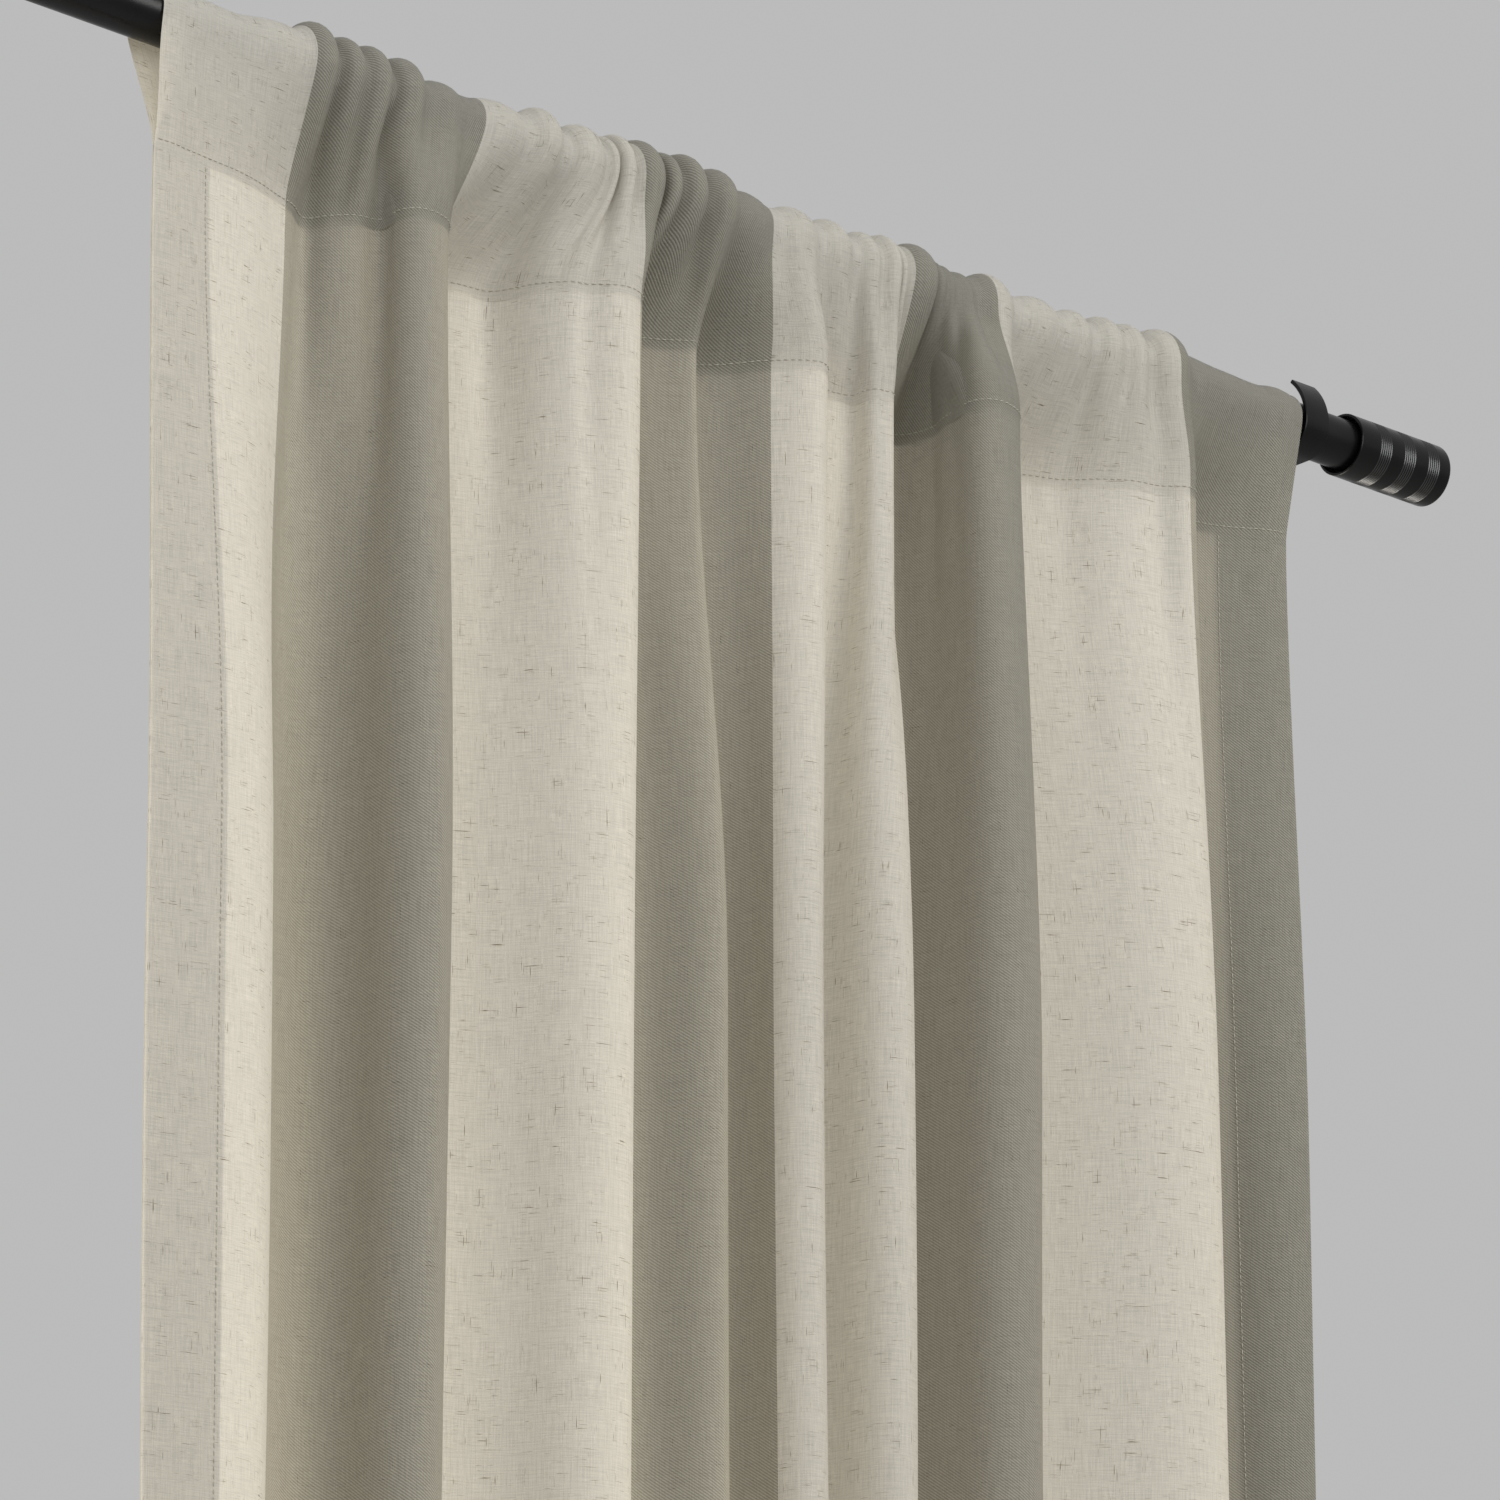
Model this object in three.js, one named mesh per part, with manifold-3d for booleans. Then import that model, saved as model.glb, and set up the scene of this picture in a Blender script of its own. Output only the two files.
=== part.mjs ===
// A striped rod-pocket curtain panel, hanging gathered on a round rod that rests in two hook
// brackets. Millimetres. +X runs along the rod to the right as seen from the room, +Y goes
// into the wall and +Z is up. The origin is the middle of the right wall plate's back face.
import * as THREE from 'three';
import { mergeVertices } from 'three/addons/utils/BufferGeometryUtils.js';
import Module from 'manifold-3d';

const wasm = await Module();
wasm.setup();

// Rod
const ROD_DIAMETER = 25.4;
const ROD_WALL = 1.5;
const WALL_TO_ROD = 90;
const BRACKET_SPAN = 1120;
const ROD_OVERHANG = 58;

// Hook brackets
const STRAP_WIDTH = 16;
const STRAP_THICKNESS = 2;
const CRADLE_CLEARANCE = 0.5;
const LIP_RADIUS = 30;
const LIP_DEGREES = 47;
const STRAP_TAB_HEIGHT = 20;
const PLATE_WIDTH = 26;
const PLATE_HEIGHT = 70;
const PLATE_THICKNESS = 3;
const PLATE_CORNER = 5;

// Wall screws, two for each plate
const SCREW_SPACING = 52;
const SCREW_DIAMETER = 4;
const SCREW_LENGTH = 32;
const SCREW_HEAD_DIAMETER = 8;
const SCREW_HEAD_HEIGHT = 2.6;
const SCREW_RECESS_LENGTH = 4.4;
const SCREW_RECESS_WIDTH = 1;
const SCREW_RECESS_DEPTH = 1.4;
const THREAD_COUNT = 8;
const THREAD_DEPTH = 0.6;

// Finials
const FINIAL_START = 31;
const FINIAL_LENGTH = 64;
const FINIAL_WALL = 1.5;
const FINIAL_RIM_GAP = 1.8;
const FINIAL_END_THICKNESS = 3;
const FINIAL_END_ROUND = 1.5;
const COLLAR_INSET = 7;
const COLLAR_LENGTH = 24;
const COLLAR_ROD_CLEARANCE = 0.25;
const GROOVE_BANDS = 3;
const GROOVES_PER_BAND = 5;
const GROOVE_PITCH = 1.5;
const GROOVE_DEPTH = 0.3;
const BAND_PITCH = 17;
const FIRST_BAND = 13;
const SET_SCREW_DIAMETER = 4;
const SET_SCREW_SOCKET = 2;

// Curtain panel
const PANEL_LENGTH = 2134;
const GATHERED_WIDTH = 715;
const PANEL_TO_BRACKET = 4;
const EDGE_STRIPE_WIDTH = 65.2;
const INNER_STRIPE_COUNT = 6;
const POCKET_DEPTH = 82;
const POCKET_SLACK = 2;
const POCKET_THICKNESS = 5;
const POCKET_SEAM_THICKNESS = 8;
const FOLD_COUNT = 8;
const FOLD_DEPTH = 52;
const CLOTH_THICKNESS = 3;
const SIDE_HEM_WIDTH = 38;
const BOTTOM_HEM_HEIGHT = 76;
const STITCH_THICKNESS = 0.8;
const POINTS_PER_FOLD = 16;
const SPARE_POINTS = 2;

const GAP = 0.3;
const ROUND_SEGMENTS = 24;
const ARC_SEGMENTS = 8;
const SCREW_SEGMENTS = 12;

// Places worked out from the sizes above
const rodRadius = ROD_DIAMETER / 2;
const cradleRadius = rodRadius + CRADLE_CLEARANCE + STRAP_THICKNESS / 2;
const rodZ = cradleRadius - STRAP_TAB_HEIGHT / 2;
const panelRight = -STRAP_WIDTH / 2 - PANEL_TO_BRACKET;
const panelLeft = panelRight - GATHERED_WIDTH;
const innerStripeWidth = (GATHERED_WIDTH - 2 * EDGE_STRIPE_WIDTH) / INNER_STRIPE_COUNT;
const pocketOuterRadius = rodRadius + POCKET_SLACK + POCKET_THICKNESS;
const panelTop = rodZ + pocketOuterRadius;
const seamZ = panelTop - POCKET_DEPTH;
const panelBottom = panelTop - PANEL_LENGTH;

const blackMetal = new THREE.MeshStandardMaterial({ color: 0x17181a, metalness: 0.8, roughness: 0.42 });
const zincSteel = new THREE.MeshStandardMaterial({ color: 0x8f9296, metalness: 0.9, roughness: 0.35 });
const creamCloth = new THREE.MeshStandardMaterial({ color: 0xc9c3b2, metalness: 0, roughness: 0.95 });
const sageCloth = new THREE.MeshStandardMaterial({ color: 0x8c8571, metalness: 0, roughness: 0.95 });
const thread = new THREE.MeshStandardMaterial({ color: 0xd8d2c2, metalness: 0, roughness: 0.8 });

const model = new THREE.Group();

function addMesh(parent, name, geometry, material) {
  const mesh = new THREE.Mesh(geometry, material);
  mesh.name = name;
  parent.add(mesh);
  return mesh;
}

// A profile drawn as (y, z) and run along +X from zero.
function extrudeAlongX(shape, length) {
  const settings = { depth: length, bevelEnabled: false, curveSegments: ARC_SEGMENTS };
  const geometry = new THREE.ExtrudeGeometry(shape, settings);
  const turn = new THREE.Matrix4().makeBasis(
    new THREE.Vector3(0, 1, 0),
    new THREE.Vector3(0, 0, 1),
    new THREE.Vector3(1, 0, 0),
  );
  return geometry.applyMatrix4(turn);
}

// A profile of (radius, height) points turned round +Z.
function turned(points, segments = ROUND_SEGMENTS) {
  const profile = points.map(([radius, height]) => new THREE.Vector2(radius, height));
  return new THREE.LatheGeometry(profile, segments).rotateX(Math.PI / 2);
}

function toSolid(geometry) {
  const plain = geometry.clone();
  plain.deleteAttribute('normal');
  plain.deleteAttribute('uv');
  const merged = mergeVertices(plain.index ? plain.toNonIndexed() : plain, 1e-4);
  const vertProperties = new Float32Array(merged.attributes.position.array);
  const triVerts = new Uint32Array(merged.index.array);
  return new wasm.Manifold(new wasm.Mesh({ numProp: 3, vertProperties, triVerts }));
}

function toGeometry(solid) {
  const { vertProperties, triVerts } = solid.getMesh();
  const geometry = new THREE.BufferGeometry();
  geometry.setAttribute('position', new THREE.BufferAttribute(new Float32Array(vertProperties), 3));
  geometry.setIndex(new THREE.BufferAttribute(new Uint32Array(triVerts), 1));
  geometry.computeVertexNormals();
  return geometry;
}

function cut(geometry, ...tools) {
  const solid = tools.reduce((left, tool) => left.subtract(toSolid(tool)), toSolid(geometry));
  return toGeometry(solid);
}

// ---- Rod: a plain tube, open at both ends --------------------------------------------------

function rodTube() {
  const length = BRACKET_SPAN + 2 * ROD_OVERHANG;
  const inner = rodRadius - ROD_WALL;
  const ring = [[inner, 0], [rodRadius, 0], [rodRadius, length], [inner, length], [inner, 0]];
  return turned(ring).rotateY(Math.PI / 2);
}

const rod = addMesh(model, 'rod_tube', rodTube(), blackMetal);
rod.position.set(-BRACKET_SPAN - ROD_OVERHANG, -WALL_TO_ROD, rodZ);

// ---- Brackets: a wall plate, a bent strap that cradles the rod, and two wall screws --------

function roundedPlate() {
  const halfWidth = PLATE_WIDTH / 2 - PLATE_CORNER;
  const halfHeight = PLATE_HEIGHT / 2 - PLATE_CORNER;
  const outline = new THREE.Shape();
  outline.absarc(halfWidth, halfHeight, PLATE_CORNER, 0, Math.PI / 2);
  outline.absarc(-halfWidth, halfHeight, PLATE_CORNER, Math.PI / 2, Math.PI);
  outline.absarc(-halfWidth, -halfHeight, PLATE_CORNER, Math.PI, 1.5 * Math.PI);
  outline.absarc(halfWidth, -halfHeight, PLATE_CORNER, 1.5 * Math.PI, 2 * Math.PI);
  for (const side of [-1, 1]) {
    const hole = new THREE.Path();
    hole.absarc(0, side * SCREW_SPACING / 2, SCREW_DIAMETER / 2 + GAP, 0, 2 * Math.PI, true);
    outline.holes.push(hole);
  }
  const plate = new THREE.ExtrudeGeometry(outline, {
    depth: PLATE_THICKNESS, bevelEnabled: false, curveSegments: ARC_SEGMENTS,
  });
  return plate.rotateX(Math.PI / 2);
}

// The strap's middle line as (y, z): down the wall tab, out along the arm, round under the
// rod and up into a lip that leans back over it.
function strapLine() {
  const tabY = -PLATE_THICKNESS - GAP - STRAP_THICKNESS / 2;
  const armZ = rodZ - cradleRadius;
  const line = [[tabY, armZ + STRAP_TAB_HEIGHT], [tabY, armZ]];
  const steps = 12;
  for (let i = 0; i <= steps; i += 1) {
    const angle = (Math.PI / 2) * (i / steps);
    line.push([-WALL_TO_ROD - cradleRadius * Math.sin(angle), rodZ - cradleRadius * Math.cos(angle)]);
  }
  const lipCentreY = -WALL_TO_ROD - cradleRadius + LIP_RADIUS;
  for (let i = 1; i <= steps; i += 1) {
    const angle = THREE.MathUtils.degToRad(LIP_DEGREES) * (i / steps);
    line.push([lipCentreY - LIP_RADIUS * Math.cos(angle), rodZ + LIP_RADIUS * Math.sin(angle)]);
  }
  return line;
}

// The outline of a strip of even thickness about a middle line, with square ends.
function thicken(line, thickness, offset = 0) {
  const sides = [[], []];
  line.forEach(([a, b], i) => {
    const before = line[Math.max(i - 1, 0)];
    const after = line[Math.min(i + 1, line.length - 1)];
    const inward = new THREE.Vector2(a - before[0], b - before[1]).normalize();
    const outward = new THREE.Vector2(after[0] - a, after[1] - b).normalize();
    const along = inward.clone().add(outward).normalize();
    const normal = new THREE.Vector2(-along.y, along.x);
    const isEnd = i === 0 || i === line.length - 1;
    const mitre = isEnd ? 1 : 1 / Math.max(along.dot(inward), 0.5);
    [offset + thickness / 2, offset - thickness / 2].forEach((distance, side) => {
      const reach = distance * mitre;
      sides[side].push(new THREE.Vector2(a + normal.x * reach, b + normal.y * reach));
    });
  });
  return new THREE.Shape([...sides[0], ...sides[1].reverse()]);
}

function hookStrap() {
  const strap = extrudeAlongX(thicken(strapLine(), STRAP_THICKNESS), STRAP_WIDTH);
  return strap.translate(-STRAP_WIDTH / 2, 0, 0);
}

function wallScrew() {
  const radius = SCREW_DIAMETER / 2;
  const headRadius = SCREW_HEAD_DIAMETER / 2;
  const pitch = (SCREW_LENGTH - PLATE_THICKNESS - 4) / THREAD_COUNT;
  const profile = [[0, -SCREW_LENGTH], [radius - THREAD_DEPTH, 3 - SCREW_LENGTH]];
  for (let i = 0; i < THREAD_COUNT; i += 1) {
    const start = 3 - SCREW_LENGTH + i * pitch;
    profile.push([radius, start + pitch / 2], [radius - THREAD_DEPTH, start + pitch]);
  }
  profile.push([radius - THREAD_DEPTH, 0], [headRadius, 0], [headRadius, SCREW_HEAD_HEIGHT * 0.45]);
  profile.push([headRadius * 0.7, SCREW_HEAD_HEIGHT * 0.9], [0, SCREW_HEAD_HEIGHT]);
  const slots = [0, 1].map((turn) => {
    const slot = new THREE.BoxGeometry(SCREW_RECESS_LENGTH, SCREW_RECESS_WIDTH, 2 * SCREW_RECESS_DEPTH);
    return slot.rotateZ(turn * Math.PI / 2).translate(0, 0, SCREW_HEAD_HEIGHT);
  });
  return cut(turned(profile, SCREW_SEGMENTS), ...slots).rotateX(Math.PI / 2);
}

function addBracket(side, x) {
  const bracket = new THREE.Group();
  bracket.position.x = x;
  model.add(bracket);
  addMesh(bracket, `${side}_wall_plate`, roundedPlate(), blackMetal);
  addMesh(bracket, `${side}_hook_strap`, hookStrap(), blackMetal);
  for (const [place, sign] of [['upper', 1], ['lower', -1]]) {
    const screw = addMesh(bracket, `${side}_${place}_wall_screw`, wallScrew(), zincSteel);
    screw.position.set(0, -PLATE_THICKNESS - GAP, sign * SCREW_SPACING / 2);
  }
}

addBracket('right', 0);
addBracket('left', -BRACKET_SPAN);

// ---- Finials: a grooved shell closed at its far end, a collar inside it and a set screw ----

const finialRadius = rodRadius + FINIAL_RIM_GAP + FINIAL_WALL;
const collarOuterRadius = finialRadius - FINIAL_WALL - GAP;
const collarInnerRadius = rodRadius + COLLAR_ROD_CLEARANCE;
const setScrewX = COLLAR_INSET + COLLAR_LENGTH * 0.7;

function finialShell() {
  const inner = finialRadius - FINIAL_WALL;
  const profile = [[inner, 0], [finialRadius, 0]];
  for (let band = 0; band < GROOVE_BANDS; band += 1) {
    for (let groove = 0; groove < GROOVES_PER_BAND; groove += 1) {
      const start = FIRST_BAND + band * BAND_PITCH + groove * GROOVE_PITCH;
      profile.push([finialRadius, start], [finialRadius - GROOVE_DEPTH, start + GROOVE_PITCH * 0.25]);
      profile.push([finialRadius, start + GROOVE_PITCH * 0.5]);
    }
  }
  for (let i = 0; i <= 4; i += 1) {
    const angle = (Math.PI / 2) * (i / 4);
    const radius = finialRadius - FINIAL_END_ROUND * (1 - Math.cos(angle));
    profile.push([radius, FINIAL_LENGTH - FINIAL_END_ROUND * (1 - Math.sin(angle))]);
  }
  const innerEnd = FINIAL_LENGTH - FINIAL_END_THICKNESS;
  profile.push([0, FINIAL_LENGTH], [0, innerEnd], [inner, innerEnd], [inner, 0]);
  const shell = turned(profile).rotateY(Math.PI / 2);
  return cut(shell, screwHole());
}

// The set screw comes in from the wall side, where it isn't seen from the room.
function screwHole() {
  const hole = new THREE.CylinderGeometry(
    SET_SCREW_DIAMETER / 2 + GAP, SET_SCREW_DIAMETER / 2 + GAP, finialRadius, 20,
  );
  return hole.translate(setScrewX, finialRadius, 0);
}

function finialCollar() {
  const ring = [
    [collarInnerRadius, 0], [collarOuterRadius, 0],
    [collarOuterRadius, COLLAR_LENGTH], [collarInnerRadius, COLLAR_LENGTH], [collarInnerRadius, 0],
  ];
  return cut(turned(ring).rotateY(Math.PI / 2).translate(COLLAR_INSET, 0, 0), screwHole());
}

function setScrew() {
  const inside = rodRadius + GAP;
  const length = finialRadius - inside - GAP;
  const body = new THREE.CylinderGeometry(SET_SCREW_DIAMETER / 2, SET_SCREW_DIAMETER / 2, length, 20);
  const socket = new THREE.CylinderGeometry(SET_SCREW_SOCKET / 2, SET_SCREW_SOCKET / 2, length, 6);
  return cut(body, socket.translate(0, length / 2, 0)).translate(setScrewX, inside + length / 2, 0);
}

// Each finial points away from the panel, and its set screw faces the wall.
function addFinial(side, x, turn) {
  const finial = new THREE.Group();
  finial.position.set(x, -WALL_TO_ROD, rodZ);
  finial.rotation.y = turn;
  model.add(finial);
  addMesh(finial, `${side}_finial_shell`, finialShell(), blackMetal);
  addMesh(finial, `${side}_finial_collar`, finialCollar(), blackMetal);
  addMesh(finial, `${side}_finial_set_screw`, setScrew(), zincSteel);
}

addFinial('right', FINIAL_START, 0);
addFinial('left', -BRACKET_SPAN - FINIAL_START, Math.PI);

// ---- Curtain panel: one woven cloth, held as sections by its stripes -----------------------

// The stripes' edges along the rod, from the left. The two edge stripes are the narrow ones.
const stripeEdges = [panelLeft];
for (let i = 0; i <= INNER_STRIPE_COUNT; i += 1) {
  stripeEdges.push(panelLeft + EDGE_STRIPE_WIDTH + i * innerStripeWidth);
}
stripeEdges.push(panelRight);
const foldLength = GATHERED_WIDTH / FOLD_COUNT;

// The cloth's middle line in plan. It runs past both places along the rod, and every layer takes
// its points from one shared spacing, so that the layers lie parallel.
function foldLine(from, to) {
  const step = foldLength / POINTS_PER_FOLD;
  const first = Math.floor((from - panelLeft) / step) - SPARE_POINTS;
  const last = Math.ceil((to - panelLeft) / step) + SPARE_POINTS;
  const line = [];
  for (let i = first; i <= last; i += 1) {
    const wave = Math.sin(2 * Math.PI * i / POINTS_PER_FOLD);
    line.push([panelLeft + i * step, -WALL_TO_ROD - (FOLD_DEPTH - CLOTH_THICKNESS) / 2 * wave]);
  }
  return line;
}

// One layer of cloth, cut off straight at both places along the rod.
function hangingCloth(from, to, bottom, top, thickness, offset) {
  const outline = thicken(foldLine(from, to), thickness, offset);
  const cloth = new THREE.ExtrudeGeometry(outline, { depth: top - bottom, bevelEnabled: false });
  const spare = [-1, 1].map((side) => {
    const block = new THREE.BoxGeometry(foldLength, 4 * FOLD_DEPTH, top - bottom + 2);
    const centreX = side < 0 ? from - foldLength / 2 : to + foldLength / 2;
    return block.translate(centreX, -WALL_TO_ROD, (top - bottom) / 2);
  });
  return cut(cloth, ...spare).translate(0, 0, bottom);
}

// The rod pocket in section: a loop that goes over the rod and closes at the seam.
function pocketSection() {
  const seamDepth = rodZ - seamZ;
  const loop = (path, radius, seamHalf, depth, clockwise) => {
    const first = clockwise ? Math.PI : 0;
    path.absarc(0, 0, radius, first, Math.PI - first, clockwise);
    path.lineTo(clockwise ? seamHalf : -seamHalf, -depth);
    path.lineTo(clockwise ? -seamHalf : seamHalf, -depth);
    path.closePath();
    return path;
  };
  const section = new THREE.Shape();
  loop(section, pocketOuterRadius, POCKET_SEAM_THICKNESS / 2, seamDepth, false);
  const inside = loop(new THREE.Path(), rodRadius + POCKET_SLACK, GAP, seamDepth - POCKET_THICKNESS, true);
  section.holes.push(inside);
  return section;
}

function pocketLoop(from, to) {
  const loop = extrudeAlongX(pocketSection(), to - from);
  return loop.translate(from, -WALL_TO_ROD, rodZ);
}

stripeEdges.slice(0, -1).forEach((edge, i) => {
  const name = `${i % 2 ? 'sage' : 'cream'}_${i + 1}`;
  const material = i % 2 ? sageCloth : creamCloth;
  const from = edge + GAP / 2;
  const to = stripeEdges[i + 1] - GAP / 2;
  const drop = hangingCloth(from, to, panelBottom, seamZ - GAP, CLOTH_THICKNESS, 0);
  addMesh(model, `drop_${name}`, drop, material);
  addMesh(model, `pocket_${name}`, pocketLoop(from, to), material);
});

// Hems are turned to the wall side, behind the drop.
const behind = CLOTH_THICKNESS + 2 * GAP;
const hemTop = panelBottom + BOTTOM_HEM_HEIGHT;
addMesh(
  model, 'bottom_hem',
  hangingCloth(panelLeft + GAP, panelRight - GAP, panelBottom, hemTop, CLOTH_THICKNESS, behind), creamCloth,
);
for (const [side, from, to, material] of [
  ['left', panelLeft + GAP, panelLeft + SIDE_HEM_WIDTH, creamCloth],
  ['right', panelRight - SIDE_HEM_WIDTH, panelRight - GAP, sageCloth],
]) {
  const hem = hangingCloth(from, to, hemTop + GAP, seamZ - GAP, CLOTH_THICKNESS, behind);
  addMesh(model, `${side}_side_hem`, hem, material);
}

// Lines of sewing thread, on the room side of the cloth.
const stitchOffset = -(CLOTH_THICKNESS + STITCH_THICKNESS) / 2 - GAP;
const hemStitching = hangingCloth(
  panelLeft + GAP / 2, panelRight - GAP / 2, hemTop - 2 * STITCH_THICKNESS, hemTop - STITCH_THICKNESS,
  STITCH_THICKNESS, stitchOffset,
);
addMesh(model, 'bottom_hem_stitching', hemStitching, thread);
for (const [side, x] of [['left', panelLeft + SIDE_HEM_WIDTH], ['right', panelRight - SIDE_HEM_WIDTH]]) {
  const line = hangingCloth(
    x - STITCH_THICKNESS, x + STITCH_THICKNESS, hemTop, seamZ - GAP, STITCH_THICKNESS, stitchOffset,
  );
  addMesh(model, `${side}_hem_stitching`, line, thread);
}
const seamHeight = 2 * STITCH_THICKNESS;
const seamStitching = new THREE.BoxGeometry(GATHERED_WIDTH - 2 * GAP, STITCH_THICKNESS, seamHeight);
const seamSlope = (pocketOuterRadius - POCKET_SEAM_THICKNESS / 2) / (rodZ - seamZ);
const seamY = -WALL_TO_ROD - POCKET_SEAM_THICKNESS / 2 - STITCH_THICKNESS - GAP - seamHeight * seamSlope;
const seamStitches = addMesh(model, 'pocket_seam_stitching', seamStitching, thread);
seamStitches.position.set((panelLeft + panelRight) / 2, seamY, seamZ + seamHeight);

export default model;
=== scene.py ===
# A striped rod-pocket curtain panel, gathered on its black rod between two hook brackets.
# All sizes are in metres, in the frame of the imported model: +X along the rod to the right,
# +Y into the wall, +Z up, with the origin on the right wall plate's back face.
import math

import bpy
import numpy as np
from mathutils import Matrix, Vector


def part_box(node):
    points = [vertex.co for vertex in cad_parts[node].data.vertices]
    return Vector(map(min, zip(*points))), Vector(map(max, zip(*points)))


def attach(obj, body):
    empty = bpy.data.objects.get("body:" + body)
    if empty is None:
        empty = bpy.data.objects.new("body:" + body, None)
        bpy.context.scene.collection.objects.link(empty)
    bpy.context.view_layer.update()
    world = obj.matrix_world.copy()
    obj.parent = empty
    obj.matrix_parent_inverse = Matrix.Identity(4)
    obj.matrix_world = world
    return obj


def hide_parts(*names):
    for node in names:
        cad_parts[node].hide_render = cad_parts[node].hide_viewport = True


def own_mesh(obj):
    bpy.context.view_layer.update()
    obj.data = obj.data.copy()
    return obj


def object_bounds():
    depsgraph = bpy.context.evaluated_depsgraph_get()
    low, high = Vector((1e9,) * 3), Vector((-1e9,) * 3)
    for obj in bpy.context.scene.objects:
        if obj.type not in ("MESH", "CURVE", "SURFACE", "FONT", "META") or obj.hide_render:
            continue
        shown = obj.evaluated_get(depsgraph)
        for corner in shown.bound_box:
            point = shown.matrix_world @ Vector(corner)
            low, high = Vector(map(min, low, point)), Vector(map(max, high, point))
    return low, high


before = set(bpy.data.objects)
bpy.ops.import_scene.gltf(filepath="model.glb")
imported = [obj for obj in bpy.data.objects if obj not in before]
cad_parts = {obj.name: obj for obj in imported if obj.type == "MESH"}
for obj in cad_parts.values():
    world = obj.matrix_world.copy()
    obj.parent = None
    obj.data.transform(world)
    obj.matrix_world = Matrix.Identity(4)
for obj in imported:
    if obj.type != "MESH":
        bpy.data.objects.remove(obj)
cad_low, cad_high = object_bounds()

# ---- View, light and floor ------------------------------------------------------------------
# The panel is seen from low down at its left, looking up along the rod through a long lens.
# A broad key comes from the front of the room and a fill from its left. Daylight comes through
# the cloth from behind, low down at the left.
scene = bpy.context.scene
scene.view_settings.view_transform = "Standard"

rod_low, rod_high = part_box("rod_tube")
rod_centre_y = (rod_low[1] + rod_high[1]) / 2
rod_centre_z = (rod_low[2] + rod_high[2]) / 2
rod_radius = (rod_high[2] - rod_low[2]) / 2

VIEW_AZIMUTH = math.radians(42.36)
VIEW_RISE = math.radians(20.2)
VIEW_DISTANCE = 4.46
LENS = 231.0

aim = Vector((-0.3675, rod_centre_y, -0.257))
looking = Vector((
    math.sin(VIEW_AZIMUTH) * math.cos(VIEW_RISE),
    math.cos(VIEW_AZIMUTH) * math.cos(VIEW_RISE),
    math.sin(VIEW_RISE),
))
camera_data = bpy.data.cameras.new("main_camera")
camera_data.lens = LENS
camera_data.clip_end = 60.0
camera = bpy.data.objects.new("main_camera", camera_data)
camera.location = aim - looking * VIEW_DISTANCE
camera.rotation_euler = looking.to_track_quat("-Z", "Y").to_euler()
scene.collection.objects.link(camera)
scene.camera = camera


def area_light(name, place, target, size, watts, colour):
    data = bpy.data.lights.new(name, "AREA")
    data.shape = "SQUARE"
    data.size = size
    data.energy = watts
    data.color = colour
    lamp = bpy.data.objects.new(name, data)
    lamp.location = place
    lamp.rotation_euler = (Vector(target) - Vector(place)).to_track_quat("-Z", "Y").to_euler()
    scene.collection.objects.link(lamp)


area_light(
    "key_from_front", place=(0.15, -1.95, 0.55), target=(-0.30, rod_centre_y, -0.5),
    size=0.9, watts=22.0, colour=(1.0, 0.985, 0.96),
)
area_light(
    "fill_from_left", place=(-2.2, -1.9, 0.4), target=(-0.37, rod_centre_y, -0.6),
    size=1.6, watts=26.0, colour=(0.97, 0.98, 1.0),
)
area_light(
    "window_behind", place=(-1.25, 1.2, -1.40), target=(-0.60, rod_centre_y, -0.95),
    size=1.1, watts=36.0, colour=(1.0, 0.95, 0.87),
)

world = bpy.data.worlds.new("room_light")
world.use_nodes = True
world.node_tree.nodes["Background"].inputs["Color"].default_value = (0.50, 0.50, 0.50, 1.0)
world.node_tree.nodes["Background"].inputs["Strength"].default_value = 1.0
scene.world = world

FLOOR_DROP = 0.02
FLOOR_REACH = 60.0
floor_mesh = bpy.data.meshes.new("floor")
floor_z = cad_low[2] - FLOOR_DROP
floor_mesh.from_pydata(
    [(-FLOOR_REACH, -FLOOR_REACH, floor_z), (FLOOR_REACH, -FLOOR_REACH, floor_z),
     (FLOOR_REACH, FLOOR_REACH, floor_z), (-FLOOR_REACH, FLOOR_REACH, floor_z)],
    [], [(0, 1, 2, 3)],
)
floor = bpy.data.objects.new("floor", floor_mesh)
scene.collection.objects.link(floor)
floor_paint = bpy.data.materials.new("pale_floor")
floor_paint.use_nodes = True
floor_paint.node_tree.nodes["Principled BSDF"].inputs["Base Color"].default_value = (0.62, 0.61, 0.60, 1)
floor_paint.node_tree.nodes["Principled BSDF"].inputs["Roughness"].default_value = 0.8
floor_mesh.materials.append(floor_paint)


# ---- Rod ------------------------------------------------------------------------------------
# A one-inch steel tube, drawn, cut square at both ends and powder coated satin black. It lies
# loose in the two hooks, and the finials slip over its ends.
def connect(tree, value, socket):
    """Links a node's output to a socket, or sets a plain value on it."""
    if isinstance(value, bpy.types.NodeSocket):
        tree.links.new(value, socket)
    else:
        socket.default_value = value


def remap(tree, value, low, high, to_low=0.0, to_high=1.0):
    made = tree.nodes.new("ShaderNodeMapRange")
    connect(tree, value, made.inputs["Value"])
    for name, number in zip(("From Min", "From Max", "To Min", "To Max"), (low, high, to_low, to_high)):
        connect(tree, number, made.inputs[name])
    return made.outputs["Result"]


def noise(tree, vector, scale, detail=2.0, roughness=0.5):
    made = tree.nodes.new("ShaderNodeTexNoise")
    connect(tree, vector, made.inputs["Vector"])
    for name, number in (("Scale", scale), ("Detail", detail), ("Roughness", roughness)):
        made.inputs[name].default_value = number
    return made.outputs["Fac"]


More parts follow.
